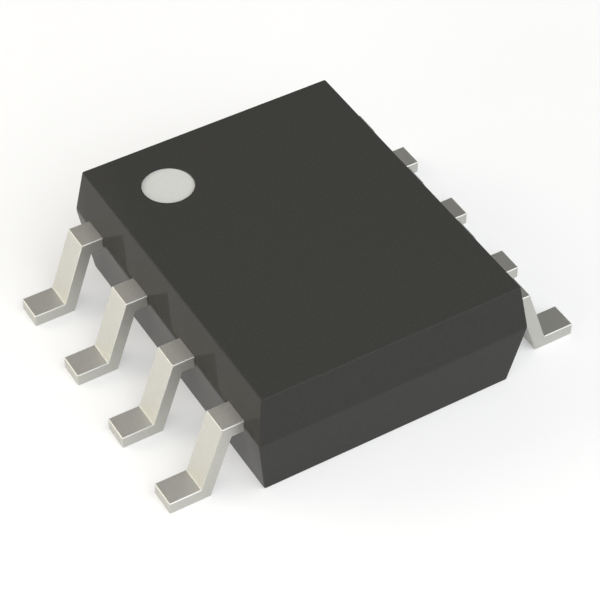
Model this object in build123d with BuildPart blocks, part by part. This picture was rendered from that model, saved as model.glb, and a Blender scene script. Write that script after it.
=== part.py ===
# Eight-lead small-outline flash memory chip, in millimetres, +Z up.
# The origin is on the board surface, under the middle of the body. X runs across the two
# rows of leads and Y along them. Pin 1 stands at -X, +Y, beside the round mark.

import os
from math import cos, hypot, radians, tan

from build123d import *

# Moulded body
body_width = 4.00
body_length = 5.00
body_top = 1.735
standoff = 0.005
parting_height = 1.04
wall_draft = 8.0
parting_round = 0.30
corner_round = 0.03
top_round = 0.02
bottom_round = 0.02

# Pin 1 mark: a shallow recess in the top, with a layer of pale ink on its floor
mark_diameter = 0.72
mark_depth = 0.04
mark_from_side = 0.97
mark_from_end = 0.91
ink_thickness = 0.01
ink_margin = 0.01

# Ejector pin mark in the underside
ejector_mark_diameter = 1.00
ejector_mark_depth = 0.03

# Lead frame: one stamped sheet, so the leads and the paddle share its thickness
sheet_thickness = 0.19
sheet_below_parting = 0.01
lead_pitch = 1.27
leads_per_side = 4
lead_width = 0.40
lead_span = 6.16
foot_length = 0.59
leg_lean = 19.0
bend_round = 0.015
lead_edge_chamfer = 0.01

# Ends of the leads inside the body, wider than the leads so that they can't pull out
lock_depth = 0.16
middle_pad_width = 0.86
middle_pad_length = 0.44
corner_pad_width = 0.44
corner_pad_length = 1.12
pad_corner_chamfer = 0.05

# Die paddle and its two support bars
paddle_width = 2.20
paddle_length = 3.10
paddle_corner_round = 0.12
paddle_downset = 0.20
support_bar_width = 0.40
support_bar_rise = 0.26
support_bar_cover = 0.16

# Memory die and the adhesive under it
die_width = 1.70
die_length = 2.30
die_thickness = 0.25
attach_thickness = 0.025
attach_fillet = 0.05

# Bond wires, each from a ball on the die to a stitch on a lead
wire_diameter = 0.03
ball_diameter = 0.075
ball_height = 0.02
neck_height = 0.15
loop_height = 0.19
loop_peak_at = 0.25
stitch_length = 0.11
stitch_width = 0.06
stitch_thickness = 0.012
bond_from_die_edge = 0.10
middle_bond_y = 0.42
corner_bond_x = 0.62
middle_stitch_inset = 0.14
corner_stitch_inset = 0.22

# Levels and places that follow from the sizes above
wall_x = body_width / 2
wall_y = body_length / 2
sheet_bottom = parting_height - sheet_below_parting - sheet_thickness / 2
sheet_top = sheet_bottom + sheet_thickness
paddle_bottom = sheet_bottom - paddle_downset
paddle_top = paddle_bottom + sheet_thickness
die_bottom = paddle_top + attach_thickness
die_top = die_bottom + die_thickness
pad_outer_x = wall_x - lock_depth
tip_x = lead_span / 2
heel_x = tip_x - foot_length
knee_x = heel_x - sheet_bottom * tan(radians(leg_lean))
mark_x = mark_from_side - wall_x
mark_y = wall_y - mark_from_end
mark_floor = body_top - mark_depth

os.makedirs("parts", exist_ok=True)


def row_of(pin):
    """Side (-1 or 1) and Y of a pin: down the -X row from +Y, then up the +X row."""
    half = (leads_per_side - 1) / 2
    if pin <= leads_per_side:
        return -1, (half - (pin - 1)) * lead_pitch
    return 1, (pin - 1 - leads_per_side - half) * lead_pitch


def stands_up(edge):
    return edge.bounding_box().size.Z > parting_round / 100


def is_corner(pin):
    return pin % leads_per_side in (0, 1)


def pad_of(pin):
    """Length inwards and width of the pad at the inner end of a lead."""
    if is_corner(pin):
        return corner_pad_length, corner_pad_width
    return middle_pad_length, middle_pad_width


def make_lead(pin):
    """A gull-wing lead: pad in the body, shoulder, leaning leg and flat foot."""
    side, row_y = row_of(pin)
    pad_length, pad_width = pad_of(pin)
    outwards = Axis((0, 0, 0), (side, 0, 0))
    section = Plane(origin=(0, row_y, 0), x_dir=(side, 0, 0), z_dir=(0, -side, 0))
    with BuildPart() as lead:
        with BuildSketch(section) as strip:
            with BuildLine():
                Polyline(
                    (pad_outer_x, sheet_bottom),
                    (knee_x, sheet_bottom),
                    (heel_x, 0),
                    (tip_x, 0),
                )
                offset(amount=sheet_thickness, side=Side.LEFT, kind=Kind.INTERSECTION)
            make_face()
            bends = strip.vertices().filter_by_position(Axis.X, pad_outer_x, tip_x, (False, False))
            fillet(bends, radius=bend_round)
        extrude(amount=lead_width / 2, both=True)
        stamped_edges = lead.faces().filter_by(Axis.Y).edges()
        inner_end = lead.faces().sort_by(outwards)[0]
        tip = lead.faces().sort_by(outwards)[-1]
        softened = stamped_edges - inner_end.edges() + tip.edges().filter_by(Axis.Y)
        chamfer(softened, length=lead_edge_chamfer)
        pad_middle = pad_outer_x - pad_length / 2
        pad_plane = Plane(origin=(side * pad_middle, row_y, sheet_bottom))
        with BuildSketch(pad_plane) as pad:
            Rectangle(pad_length, pad_width)
            chamfer(pad.vertices(), length=pad_corner_chamfer)
        extrude(amount=sheet_thickness)
    lead.part.label = f"lead_{pin}"
    return lead.part


def make_bond_wire(pin):
    """A bond wire: ball on the die, neck, loop, and a flattened stitch on the lead."""
    side, row_y = row_of(pin)
    row_sign = 1 if row_y > 0 else -1
    pad_length, _ = pad_of(pin)
    pad_inner_x = pad_outer_x - pad_length
    if is_corner(pin):
        bond = (side * corner_bond_x, row_sign * (die_length / 2 - bond_from_die_edge))
        stitch_x = side * (pad_inner_x + corner_stitch_inset)
    else:
        bond = (side * (die_width / 2 - bond_from_die_edge), row_sign * middle_bond_y)
        stitch_x = side * (pad_inner_x + middle_stitch_inset)
    run = hypot(stitch_x - bond[0], row_y - bond[1])
    heading = ((stitch_x - bond[0]) / run, (row_y - bond[1]) / run, 0)
    loop_plane = Plane(
        origin=(bond[0], bond[1], die_top), x_dir=heading, z_dir=(heading[1], -heading[0], 0)
    )
    with BuildPart() as wire:
        with BuildSketch(Plane(origin=(bond[0], bond[1], die_top))):
            Circle(ball_diameter / 2)
        extrude(amount=ball_height)
        with BuildLine(loop_plane) as path:
            Polyline(
                (0, ball_height / 2),
                (0, neck_height),
                (loop_peak_at * run, loop_height),
                (run, sheet_top - die_top),
            )
        with BuildSketch(Plane(origin=path.line @ 0, z_dir=path.line % 0)):
            Circle(wire_diameter / 2)
        sweep(path=path.line, transition=Transition.RIGHT)
        split(bisect_by=Plane.XY.offset(sheet_top), keep=Keep.TOP)
        with BuildSketch(Plane(origin=(stitch_x, row_y, sheet_top), x_dir=heading)):
            Rectangle(stitch_length, stitch_width)
        extrude(amount=stitch_thickness)
    wire.part.label = f"bond_wire_{pin}"
    return wire.part


pins = range(1, 2 * leads_per_side + 1)
leads = [make_lead(pin) for pin in pins]
bond_wires = [make_bond_wire(pin) for pin in pins]

with BuildPart() as die_paddle:
    with BuildSketch(Plane.XY.offset(paddle_bottom)):
        RectangleRounded(paddle_width, paddle_length, paddle_corner_round)
    extrude(amount=sheet_thickness)
    with BuildSketch(Plane.YZ):
        with BuildLine():
            Polyline(
                (0, paddle_bottom),
                (paddle_length / 2, paddle_bottom),
                (paddle_length / 2 + support_bar_rise, sheet_bottom),
                (wall_y - support_bar_cover, sheet_bottom),
            )
            offset(amount=sheet_thickness, side=Side.LEFT, kind=Kind.INTERSECTION)
        make_face()
        mirror(about=Plane.YZ)
    extrude(amount=support_bar_width / 2, both=True)
die_paddle.part.label = "die_paddle"

with BuildPart() as die_attach:
    with BuildSketch(Plane.XY.offset(paddle_top)):
        Rectangle(die_width + 2 * attach_fillet, die_length + 2 * attach_fillet)
    with BuildSketch(Plane.XY.offset(die_bottom)):
        Rectangle(die_width, die_length)
    loft()
die_attach.part.label = "die_attach"

with BuildPart() as silicon_die:
    with BuildSketch(Plane.XY.offset(die_bottom)):
        Rectangle(die_width, die_length)
    extrude(amount=die_thickness)
silicon_die.part.label = "silicon_die"

with BuildPart() as pin_1_dot:
    with BuildSketch(Plane(origin=(mark_x, mark_y, mark_floor))):
        Circle(mark_diameter / 2 - ink_margin)
    extrude(amount=ink_thickness)
pin_1_dot.part.label = "pin_1_dot"

with BuildPart() as molded_body:
    # Two drafted profiles, one across the leads and one along them, cross to give the body
    slope = tan(radians(wall_draft))
    for plane, reach, mode in ((Plane.XZ, wall_x, Mode.ADD), (Plane.YZ, wall_y, Mode.INTERSECT)):
        sharp = reach + parting_round * (1 / cos(radians(wall_draft)) - 1)
        top_reach = sharp - (body_top - parting_height) * slope
        bottom_reach = sharp - (parting_height - standoff) * slope
        with BuildSketch(plane) as profile:
            with BuildLine():
                Polyline(
                    (bottom_reach, standoff),
                    (sharp, parting_height),
                    (top_reach, body_top),
                    (-top_reach, body_top),
                    (-sharp, parting_height),
                    (-bottom_reach, standoff),
                    close=True,
                )
            make_face()
            fillet(profile.vertices().group_by(Axis.Y)[1], radius=parting_round)
        extrude(amount=max(body_width, body_length), both=True, mode=mode)
    standing_edges = molded_body.edges().filter_by(stands_up)
    fillet(standing_edges, radius=corner_round)
    fillet(molded_body.faces().sort_by(Axis.Z)[-1].edges(), radius=top_round)
    fillet(molded_body.faces().sort_by(Axis.Z)[0].edges(), radius=bottom_round)
    with BuildSketch(Plane(origin=(mark_x, mark_y, body_top))):
        Circle(mark_diameter / 2)
    extrude(amount=-mark_depth, mode=Mode.SUBTRACT)
    with BuildSketch(Plane.XY.offset(standoff)):
        Circle(ejector_mark_diameter / 2)
    extrude(amount=ejector_mark_depth, mode=Mode.SUBTRACT)
    add(leads, mode=Mode.SUBTRACT)
    add([die_paddle.part, die_attach.part, silicon_die.part], mode=Mode.SUBTRACT)
    add(bond_wires, mode=Mode.SUBTRACT)
molded_body.part.label = "molded_body"

inner_pieces = [die_paddle.part, die_attach.part, silicon_die.part]
for piece in [molded_body.part, pin_1_dot.part, *inner_pieces, *leads, *bond_wires]:
    export_step(piece, f"parts/{piece.label}.step")
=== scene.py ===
import math
import bpy
from mathutils import Matrix, Vector


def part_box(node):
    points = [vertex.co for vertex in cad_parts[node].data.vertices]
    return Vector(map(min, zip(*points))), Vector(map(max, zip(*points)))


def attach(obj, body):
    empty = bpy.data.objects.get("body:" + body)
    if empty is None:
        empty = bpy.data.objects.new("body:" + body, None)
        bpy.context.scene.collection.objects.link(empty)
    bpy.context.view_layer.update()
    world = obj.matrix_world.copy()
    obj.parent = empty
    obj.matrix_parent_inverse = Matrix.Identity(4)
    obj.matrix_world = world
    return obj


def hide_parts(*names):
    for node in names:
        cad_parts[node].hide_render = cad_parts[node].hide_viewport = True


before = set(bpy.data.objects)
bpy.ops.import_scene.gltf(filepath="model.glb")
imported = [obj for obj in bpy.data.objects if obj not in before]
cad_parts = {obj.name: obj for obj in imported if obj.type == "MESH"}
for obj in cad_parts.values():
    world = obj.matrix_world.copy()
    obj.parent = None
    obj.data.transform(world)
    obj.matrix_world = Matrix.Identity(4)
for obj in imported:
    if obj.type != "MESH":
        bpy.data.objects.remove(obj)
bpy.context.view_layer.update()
mm = 0.001
pinsPerSide = 4
pins = range(1, 2 * pinsPerSide + 1)
print("chip loaded:", len(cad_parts), "nodes")


# small helpers for places and objects
def awayFrom(azimuth, elevation):
    # a direction from the chip: azimuth 0 is in front, at -Y, and 90 at the left, at -X
    turn, rise = math.radians(azimuth), math.radians(elevation)
    return Vector((-math.sin(turn) * math.cos(rise), -math.cos(turn) * math.cos(rise), math.sin(rise)))


def lookBack(away):
    # the turn that points a camera or a lamp back along its direction
    return (-away).to_track_quat("-Z", "Y").to_matrix().to_4x4()


def corners(node):
    # the low and high corners of a CAD node's box, in metres
    return [Vector(corner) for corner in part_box(node)]


def addObject(name, data):
    thing = bpy.data.objects.new(name, data)
    bpy.context.scene.collection.objects.link(thing)
    return thing


# camera, at the photo's viewing angle
camera = {
    "azimuth": 30.887,  # degrees
    "elevation": 45.125,
    "roll": 0.133,
    "distance": 29.233,  # mm
    "target": (-0.2058, -0.4550, 0.9047),  # mm
    "lens": 133.41,
    "sensor": 36,
    "clip": (1, 2000),  # mm
}


def placeCamera():
    data = bpy.data.cameras.new("mainCamera")
    data.lens = camera["lens"]
    data.sensor_width = camera["sensor"]
    data.clip_start, data.clip_end = (reach * mm for reach in camera["clip"])
    away = awayFrom(camera["azimuth"], camera["elevation"])
    place = Vector(camera["target"]) * mm + away * camera["distance"] * mm
    spin = Matrix.Rotation(math.radians(camera["roll"]), 4, "Z")
    eye = addObject("mainCamera", data)
    eye.matrix_world = Matrix.Translation(place) @ lookBack(away) @ spin
    bpy.context.scene.camera = eye


placeCamera()
print("camera placed")


# small helpers for materials
def startMaterial(name):
    material = bpy.data.materials.new(name)
    material.use_nodes = True
    tree = material.node_tree
    return material, tree, tree.nodes["Principled BSDF"]


def millimetres(tree, stretch):
    # object coordinates in mm, so that a noise scale reads as so many grains in a millimetre
    coordinates = tree.nodes.new("ShaderNodeTexCoord")
    mapping = tree.nodes.new("ShaderNodeMapping")
    mapping.inputs["Scale"].default_value = [side / mm for side in stretch]
    tree.links.new(coordinates.outputs["Object"], mapping.inputs["Vector"])
    return mapping.outputs["Vector"]


def addNoise(tree, where, perMm, detail=4.0, roughness=0.6):
    noise = tree.nodes.new("ShaderNodeTexNoise")
    noise.inputs["Scale"].default_value = perMm
    noise.inputs["Detail"].default_value = detail
    noise.inputs["Roughness"].default_value = roughness
    tree.links.new(where, noise.inputs["Vector"])
    return noise.outputs["Fac"]


def addRamp(tree, value, dark, light, low=0.35, high=0.65):
    ramp = tree.nodes.new("ShaderNodeValToRGB")
    ramp.color_ramp.elements[0].position = low
    ramp.color_ramp.elements[1].position = high
    ramp.color_ramp.elements[0].color = (*dark, 1)
    ramp.color_ramp.elements[1].color = (*light, 1)
    tree.links.new(value, ramp.inputs["Fac"])
    return ramp.outputs["Color"]


def addRange(tree, value, low, high, start=0.3, end=0.7):
    span = tree.nodes.new("ShaderNodeMapRange")
    span.inputs["From Min"].default_value = start
    span.inputs["From Max"].default_value = end
    span.inputs["To Min"].default_value = low
    span.inputs["To Max"].default_value = high
    tree.links.new(value, span.inputs["Value"])
    return span.outputs["Result"]


def addBump(tree, height, depth):
    bump = tree.nodes.new("ShaderNodeBump")
    bump.inputs["Distance"].default_value = depth * mm
    tree.links.new(height, bump.inputs["Height"])
    return bump.outputs["Normal"]


def grainedMaterial(name, look, stretch=(1, 1, 1)):
    # every finish on the chip starts as a colour that follows a fine grain
    material, tree, shader = startMaterial(name)
    grain = addNoise(tree, millimetres(tree, stretch), look["grainPerMm"])
    tree.links.new(addRamp(tree, grain, look["dark"], look["light"]), shader.inputs["Base Color"])
    return material, tree, shader, grain


# black epoxy: a smooth moulded skin over fine filler grain
compound = {
    "dark": (0.0377, 0.0375, 0.0354),
    "light": (0.0432, 0.0430, 0.0406),
    "grainPerMm": 30.0,
    "roughness": (0.045, 0.065),
    "grainDepth": 0.0001,  # mm
    "ior": 1.14,
}


def mouldCompound():
    material, tree, shader, grain = grainedMaterial("mouldCompound", compound)
    tree.links.new(addRange(tree, grain, *compound["roughness"]), shader.inputs["Roughness"])
    tree.links.new(addBump(tree, grain, compound["grainDepth"]), shader.inputs["Normal"])
    shader.inputs["IOR"].default_value = compound["ior"]
    return material


# matt tin plating: a satin metal with crystal grain
tin = {
    "dark": (0.525, 0.522, 0.487),
    "light": (0.580, 0.577, 0.541),
    "grainPerMm": 45.0,
    "roughness": (0.46, 0.54),
    "grainDepth": 0.0004,  # mm
}


def mattTin():
    material, tree, shader, grain = grainedMaterial("mattTin", tin)
    tree.links.new(addRange(tree, grain, *tin["roughness"]), shader.inputs["Roughness"])
    tree.links.new(addBump(tree, grain, tin["grainDepth"]), shader.inputs["Normal"])
    shader.inputs["Metallic"].default_value = 1.0
    return material


# pale ink of the pin 1 mark
ink = {
    "dark": (0.524, 0.527, 0.506),
    "light": (0.548, 0.551, 0.530),
    "grainPerMm": 25.0,
    "roughness": 0.55,
}


def markInk():
    material, _, shader, _ = grainedMaterial("markInk", ink)
    shader.inputs["Roughness"].default_value = ink["roughness"]
    return material


# pieces inside the body: the copper's grain runs along the sheet, the others' are even
rolledCopper = {
    "dark": (0.62, 0.30, 0.18),
    "light": (0.78, 0.42, 0.28),
    "grainPerMm": 14.0,
    "roughness": 0.35,
    "grainDepth": 0.0003,  # mm
}
silverAdhesive = {
    "dark": (0.32, 0.32, 0.33),
    "light": (0.52, 0.52, 0.53),
    "grainPerMm": 60.0,
    "roughness": 0.55,
    "grainDepth": 0.0003,
}
polishedSilicon = {
    "dark": (0.12, 0.13, 0.17),
    "light": (0.18, 0.19, 0.23),
    "grainPerMm": 8.0,
    "roughness": 0.14,
    "grainDepth": 0.0003,
}
goldWire = {
    "dark": (0.78, 0.55, 0.20),
    "light": (0.88, 0.66, 0.30),
    "grainPerMm": 50.0,
    "roughness": 0.22,
    "grainDepth": 0.0003,
}


def innerFinish(name, look, stretch=(1, 1, 1)):
    material, tree, shader, grain = grainedMaterial(name, look, stretch)
    tree.links.new(addBump(tree, grain, look["grainDepth"]), shader.inputs["Normal"])
    shader.inputs["Roughness"].default_value = look["roughness"]
    shader.inputs["Metallic"].default_value = 1.0
    return material


finishes = {
    "mold_compound": mouldCompound(),
    "tin_plate": mattTin(),
    "mark_ink": markInk(),
    "copper_alloy": innerFinish("rolledCopper", rolledCopper, stretch=(1, 0.1, 1)),
    "silver_adhesive": innerFinish("silverAdhesive", silverAdhesive),
    "silicon": innerFinish("polishedSilicon", polishedSilicon),
    "gold_wire": innerFinish("goldWire", goldWire),
}
print("finishes made:", len(finishes))


# small helpers for node trees that make meshes
def startTree(name, sockets):
    tree = bpy.data.node_groups.new(name, "GeometryNodeTree")
    tree.interface.new_socket("Geometry", in_out="INPUT", socket_type="NodeSocketGeometry")
    for label, kind in sockets.items():
        tree.interface.new_socket(label, in_out="INPUT", socket_type=kind)
    tree.interface.new_socket("Geometry", in_out="OUTPUT", socket_type="NodeSocketGeometry")
    return tree, tree.nodes.new("NodeGroupInput")


def addNode(tree, kind, inputs=None, **settings):
    node = tree.nodes.new(kind)
    for key, value in settings.items():
        setattr(node, key, value)
    for key, value in (inputs or {}).items():
        if isinstance(value, bpy.types.NodeSocket):
            tree.links.new(value, node.inputs[key])
        else:
            node.inputs[key].default_value = value
    return node


def endTree(tree, given, geometry):
    # smooth faces, with only the edges past the angle left sharp, as one plain mesh in its finish
    between = addNode(tree, "GeometryNodeInputMeshEdgeAngle")
    gentle = addNode(tree, "FunctionNodeCompare", {
        0: between.outputs["Unsigned Angle"], 1: given.outputs["Smooth Angle"],
    }, operation="LESS_THAN")
    faces = addNode(tree, "GeometryNodeSetShadeSmooth", {"Geometry": geometry}, domain="FACE")
    edges = addNode(tree, "GeometryNodeSetShadeSmooth", {
        "Geometry": faces.outputs["Geometry"], "Shade Smooth": gentle.outputs["Result"],
    }, domain="EDGE")
    plain = addNode(tree, "GeometryNodeRealizeInstances", {"Geometry": edges.outputs["Geometry"]})
    finish = addNode(tree, "GeometryNodeSetMaterial", {
        "Geometry": plain.outputs["Geometry"], "Material": given.outputs["Finish"],
    })
    addNode(tree, "NodeGroupOutput", {"Geometry": finish.outputs["Geometry"]})


def addTree(source, tree, values):
    # a modifier's inputs go by the socket's identifier
    modifier = source.modifiers.new(tree.name, "NODES")
    modifier.node_group = tree
    for item in tree.interface.items_tree:
        if item.in_out == "INPUT" and item.name in values:
            modifier[item.identifier] = values[item.name]


def addPiece(source, name, node):
    # the evaluated source becomes a plain mesh at the origin, and the source goes
    graph = bpy.context.evaluated_depsgraph_get()
    mesh = bpy.data.meshes.new_from_object(source.evaluated_get(graph), depsgraph=graph)
    mesh.name = name
    piece = addObject(name, mesh)
    bpy.data.objects.remove(source)
    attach(piece, "root")
    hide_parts(node)


# moulded and stamped pieces: the true solid, with its narrow edge faces shaded as rounds
dressing = {
    "weldDistance": 0.0002,  # mm
    "smoothAngle": 35.0,  # degrees
    "edgeWeight": 100,  # the broadest face leads, so that only the narrow ones turn
}
dressed = {
    "molded_body": ("body_shell", "mold_compound"),
    "die_paddle": ("paddle_plate", "copper_alloy"),
    "die_attach": ("attach_layer", "silver_adhesive"),
    "silicon_die": ("memory_die", "silicon"),
    **{f"lead_{pin}": (f"plated_lead_{pin}", "tin_plate") for pin in pins},
}


def dressingTree():
    tree, given = startTree("dressSolid", {
        "Weld Distance": "NodeSocketFloat", "Smooth Angle": "NodeSocketFloat",
        "Finish": "NodeSocketMaterial",
    })
    welded = addNode(tree, "GeometryNodeMergeByDistance", {
        "Geometry": given.outputs["Geometry"], "Distance": given.outputs["Weld Distance"],
    })
    endTree(tree, given, welded.outputs["Geometry"])
    return tree


def dressNode(tree, node):
    name, slot = dressed[node]
    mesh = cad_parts[node].data.copy()
    mesh.materials.clear()
    source = addObject(name + "_source", mesh)
    addTree(source, tree, {
        "Weld Distance": dressing["weldDistance"] * mm,
        "Smooth Angle": math.radians(dressing["smoothAngle"]),
        "Finish": finishes[slot],
    })
    weights = source.modifiers.new("edgeShading", "WEIGHTED_NORMAL")
    weights.weight = dressing["edgeWeight"]
    weights.thresh = 0
    weights.keep_sharp = True
    addPiece(source, name, node)


solidTree = dressingTree()
for node in dressed:
    dressNode(solidTree, node)
print("solids dressed:", len(dressed))


# pin 1 mark: a film of ink that has spread nearly to the wall of its recess
film = {
    "spread": 0.008,  # mm
    "sides": 128,
    "smoothAngle": 45.0,  # degrees
}


def inkTree():
    tree, given = startTree("inkFilm", {
        "Radius": "NodeSocketFloat", "Thickness": "NodeSocketFloat", "Middle": "NodeSocketVector",
        "Sides": "NodeSocketInt", "Smooth Angle": "NodeSocketFloat", "Finish": "NodeSocketMaterial",
    })
    disc = addNode(tree, "GeometryNodeMeshCylinder", {
        "Vertices": given.outputs["Sides"], "Radius": given.outputs["Radius"],
        "Depth": given.outputs["Thickness"],
    })
    placed = addNode(tree, "GeometryNodeTransform", {
        "Geometry": disc.outputs["Mesh"], "Translation": given.outputs["Middle"],
    })
    endTree(tree, given, placed.outputs["Geometry"])
    return tree


def spreadInk(tree):
    low, high = corners("pin_1_dot")
    source = addObject("inkSource", bpy.data.meshes.new("inkSource"))
    addTree(source, tree, {
        "Radius": (high.x - low.x) / 2 + film["spread"] * mm,
        "Thickness": high.z - low.z,
        "Middle": list((low + high) / 2),
        "Sides": film["sides"],
        "Smooth Angle": math.radians(film["smoothAngle"]),
        "Finish": finishes["mark_ink"],
    })
    addPiece(source, "pin_1_mark", "pin_1_dot")


spreadInk(inkTree())
print("ink mark spread")


# bond wires: gold wire from a ball on the die, up a neck, over a loop and down to a stitch
wires = {  # lengths in mm
    "diameter": 0.03,
    "ballDiameter": 0.074,
    "ballHeight": 0.019,
    "neckHeight": 0.15,
    "loopHeight": 0.19,
    "loopPeakAt": 0.25,  # of the way from the bond to the stitch
    "bendRadius": 0.06,
    "stitchSize": (0.11, 0.06, 0.012),
    "fromDieEdge": 0.10,
    "middleBondY": 0.42,
    "cornerBondX": 0.62,
    "middleStitchInset": 0.14,
    "cornerStitchInset": 0.22,
    "sides": 20,
    "bendSteps": 8,
    "ballRings": 10,
    "smoothAngle": 45.0,  # degrees
}


def wireRoute(pin):
    # worked out in mm from the die's and the lead's own boxes
    dieHigh = corners("silicon_die")[1] / mm
    leadLow, leadHigh = (corner / mm for corner in corners(f"lead_{pin}"))
    side = 1 if leadHigh.x + leadLow.x > 0 else -1
    rowY = (leadLow.y + leadHigh.y) / 2
    row = 1 if rowY > 0 else -1
    innerX = min(abs(leadLow.x), abs(leadHigh.x))
    if pin % pinsPerSide in (0, 1):  # a corner lead
        bond = Vector((side * wires["cornerBondX"], row * (dieHigh.y - wires["fromDieEdge"]), dieHigh.z))
        stitchX = innerX + wires["cornerStitchInset"]
    else:
        bond = Vector((side * (dieHigh.x - wires["fromDieEdge"]), row * wires["middleBondY"], dieHigh.z))
        stitchX = innerX + wires["middleStitchInset"]
    stitch = Vector((side * stitchX, rowY, leadHigh.z))
    peak = bond.lerp(stitch, wires["loopPeakAt"])
    peak.z = bond.z + wires["loopHeight"]
    neck = bond + Vector((0, 0, wires["neckHeight"]))
    foot = bond + Vector((0, 0, wires["ballHeight"] / 2))
    landing = stitch + Vector((0, 0, wires["stitchSize"][2] / 2))
    return [foot, neck, peak, landing]


def wireTree():
    tree, given = startTree("bondWire", {
        "Wire Radius": "NodeSocketFloat", "Bend Radius": "NodeSocketFloat", "Bend Steps": "NodeSocketInt",
        "Sides": "NodeSocketInt", "Ball Size": "NodeSocketVector", "Ball Rings": "NodeSocketInt",
        "Stitch Size": "NodeSocketVector", "Heading": "NodeSocketVector",
        "Smooth Angle": "NodeSocketFloat", "Finish": "NodeSocketMaterial",
    })
    path = given.outputs["Geometry"]
    bent = addNode(tree, "GeometryNodeFilletCurve", {
        "Curve": path, "Radius": given.outputs["Bend Radius"], "Count": given.outputs["Bend Steps"],
        "Limit Radius": True,
    }, mode="POLY")
    profile = addNode(tree, "GeometryNodeCurvePrimitiveCircle", {
        "Resolution": given.outputs["Sides"], "Radius": given.outputs["Wire Radius"],
    })
    drawn = addNode(tree, "GeometryNodeCurveToMesh", {
        "Curve": bent.outputs["Curve"], "Profile Curve": profile.outputs["Curve"], "Fill Caps": True,
    })
    first = addNode(tree, "GeometryNodeSampleCurve", {"Curves": path, "Factor": 0.0}, mode="FACTOR")
    last = addNode(tree, "GeometryNodeSampleCurve", {"Curves": path, "Factor": 1.0}, mode="FACTOR")
    sphere = addNode(tree, "GeometryNodeMeshUVSphere", {  # one across, so that its scale is its size
        "Segments": given.outputs["Sides"], "Rings": given.outputs["Ball Rings"], "Radius": 0.5,
    })
    ball = addNode(tree, "GeometryNodeTransform", {
        "Geometry": sphere.outputs["Mesh"], "Translation": first.outputs["Position"],
        "Scale": given.outputs["Ball Size"],
    })
    block = addNode(tree, "GeometryNodeMeshCube", {"Size": given.outputs["Stitch Size"]})
    turn = addNode(tree, "FunctionNodeAxesToRotation", {
        "Primary Axis": given.outputs["Heading"], "Secondary Axis": (0, 0, 1),
    }, primary_axis="X", secondary_axis="Z")
    stitch = addNode(tree, "GeometryNodeTransform", {
        "Geometry": block.outputs["Mesh"], "Translation": last.outputs["Position"],
        "Rotation": turn.outputs[0],
    })
    joined = addNode(tree, "GeometryNodeJoinGeometry")
    for part in (stitch.outputs["Geometry"], ball.outputs["Geometry"], drawn.outputs["Mesh"]):
        tree.links.new(part, joined.inputs["Geometry"])
    endTree(tree, given, joined.outputs["Geometry"])
    return tree


def drawWire(tree, pin):
    route = wireRoute(pin)
    curve = bpy.data.curves.new(f"wirePath{pin}", "CURVE")
    curve.dimensions = "3D"
    spline = curve.splines.new("POLY")
    spline.points.add(len(route) - 1)
    for point, place in zip(spline.points, route):
        point.co = (*(place * mm), 1)
    source = addObject(f"wirePath{pin}", curve)
    heading = (route[-1] - route[0]).to_2d().to_3d().normalized()
    ballSize = (wires["ballDiameter"], wires["ballDiameter"], wires["ballHeight"])
    addTree(source, tree, {
        "Wire Radius": wires["diameter"] / 2 * mm,
        "Bend Radius": wires["bendRadius"] * mm,
        "Bend Steps": wires["bendSteps"],
        "Sides": wires["sides"],
        "Ball Size": [side * mm for side in ballSize],
        "Ball Rings": wires["ballRings"],
        "Stitch Size": [side * mm for side in wires["stitchSize"]],
        "Heading": list(heading),
        "Smooth Angle": math.radians(wires["smoothAngle"]),
        "Finish": finishes["gold_wire"],
    })
    addPiece(source, f"wire_loop_{pin}", f"bond_wire_{pin}")


loopTree = wireTree()
for pin in pins:
    drawWire(loopTree, pin)
print("bond wires drawn:", len(pins))


# floor: pale, keeps the shadow, and shows white to the lens and in the metal
floor = {
    "side": 400,  # mm
    "colour": 0.55,
    "glow": 0.37,
    "roughness": 0.9,
}


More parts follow.
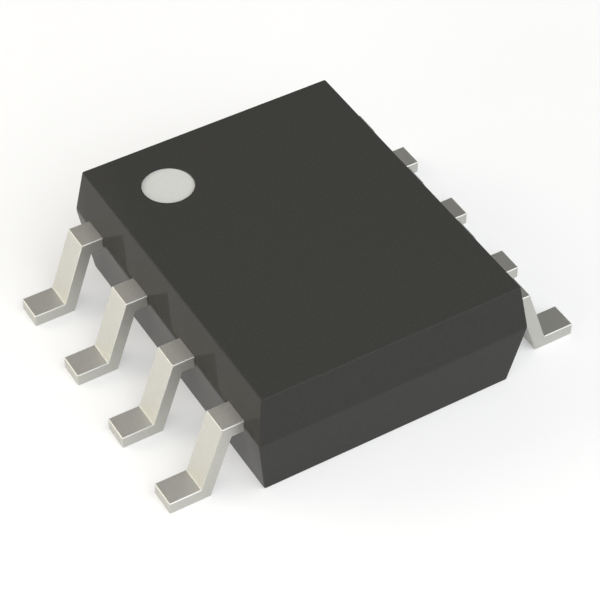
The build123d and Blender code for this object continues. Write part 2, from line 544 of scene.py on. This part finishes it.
def makeFloor():
    half = floor["side"] / 2 * mm
    sheet = [(-half, -half, 0), (half, -half, 0), (half, half, 0), (-half, half, 0)]
    mesh = bpy.data.meshes.new("floor")
    mesh.from_pydata(sheet, [], [(0, 1, 2, 3)])
    plane = addObject("floor", mesh)
    material, tree, shader = startMaterial("paleFloor")
    shader.inputs["Base Color"].default_value = (floor["colour"],) * 3 + (1,)
    shader.inputs["Roughness"].default_value = floor["roughness"]
    shader.inputs["Specular IOR Level"].default_value = 0.0
    shader.inputs["Emission Color"].default_value = (1, 1, 1, 1)
    path = tree.nodes.new("ShaderNodeLightPath")
    seen = path.outputs["Is Camera Ray"]
    for ray in ("Is Glossy Ray", "Is Transmission Ray"):
        either = addNode(tree, "ShaderNodeMath", {0: seen, 1: path.outputs[ray]}, operation="MAXIMUM")
        seen = either.outputs["Value"]
    glow = addNode(tree, "ShaderNodeMath", {0: seen, 1: floor["glow"]}, operation="MULTIPLY")
    tree.links.new(glow.outputs["Value"], shader.inputs["Emission Strength"])
    mesh.materials.append(material)


makeFloor()


# softboxes: three warm ones on the left, a large cool one in front, weak warm ones above and behind
softboxes = {  # degrees and mm
    "leftBox": {
        "azimuth": 120, "elevation": 20, "size": 44, "radiance": 2.0, "colour": (1.0, 0.955, 0.86),
    },
    "lowBox": {
        "azimuth": 75, "elevation": 8, "size": 30, "radiance": 8.0, "colour": (1.0, 0.955, 0.85),
    },
    "sideBox": {
        "azimuth": 138, "elevation": 36, "size": 34, "radiance": 2.6, "colour": (1.0, 0.955, 0.86),
    },
    "frontBox": {
        "azimuth": -16, "elevation": 46, "size": 80, "radiance": 2.7, "colour": (0.97, 0.99, 1.0),
    },
    "topBox": {
        "azimuth": 0, "elevation": 88, "size": 40, "radiance": 0.70, "colour": (1.0, 0.98, 0.95),
    },
    "backBox": {
        "azimuth": 180, "elevation": 50, "size": 34, "radiance": 0.62, "colour": (1.0, 0.935, 0.92),
    },
}
studio = {
    "lampDistance": 60,  # mm, for every softbox
    "walls": (0.09, 0.09, 0.09),  # dim and even
}


def addSoftbox(name, box):
    place = awayFrom(box["azimuth"], box["elevation"]) * studio["lampDistance"] * mm
    side = box["size"] * mm
    data = bpy.data.lights.new(name, "AREA")
    data.shape = "SQUARE"
    data.size = side
    data.energy = box["radiance"] * math.pi * side * side
    data.color = box["colour"]
    lamp = addObject(name, data)
    lamp.matrix_world = Matrix.Translation(place) @ lookBack(place)


def makeWalls():
    world = bpy.data.worlds.new("studio")
    bpy.context.scene.world = world
    world.use_nodes = True
    world.node_tree.nodes["Background"].inputs["Color"].default_value = (*studio["walls"], 1)


for name, box in softboxes.items():
    addSoftbox(name, box)
makeWalls()
bpy.context.scene.view_settings.view_transform = "Standard"
print("light and floor set")
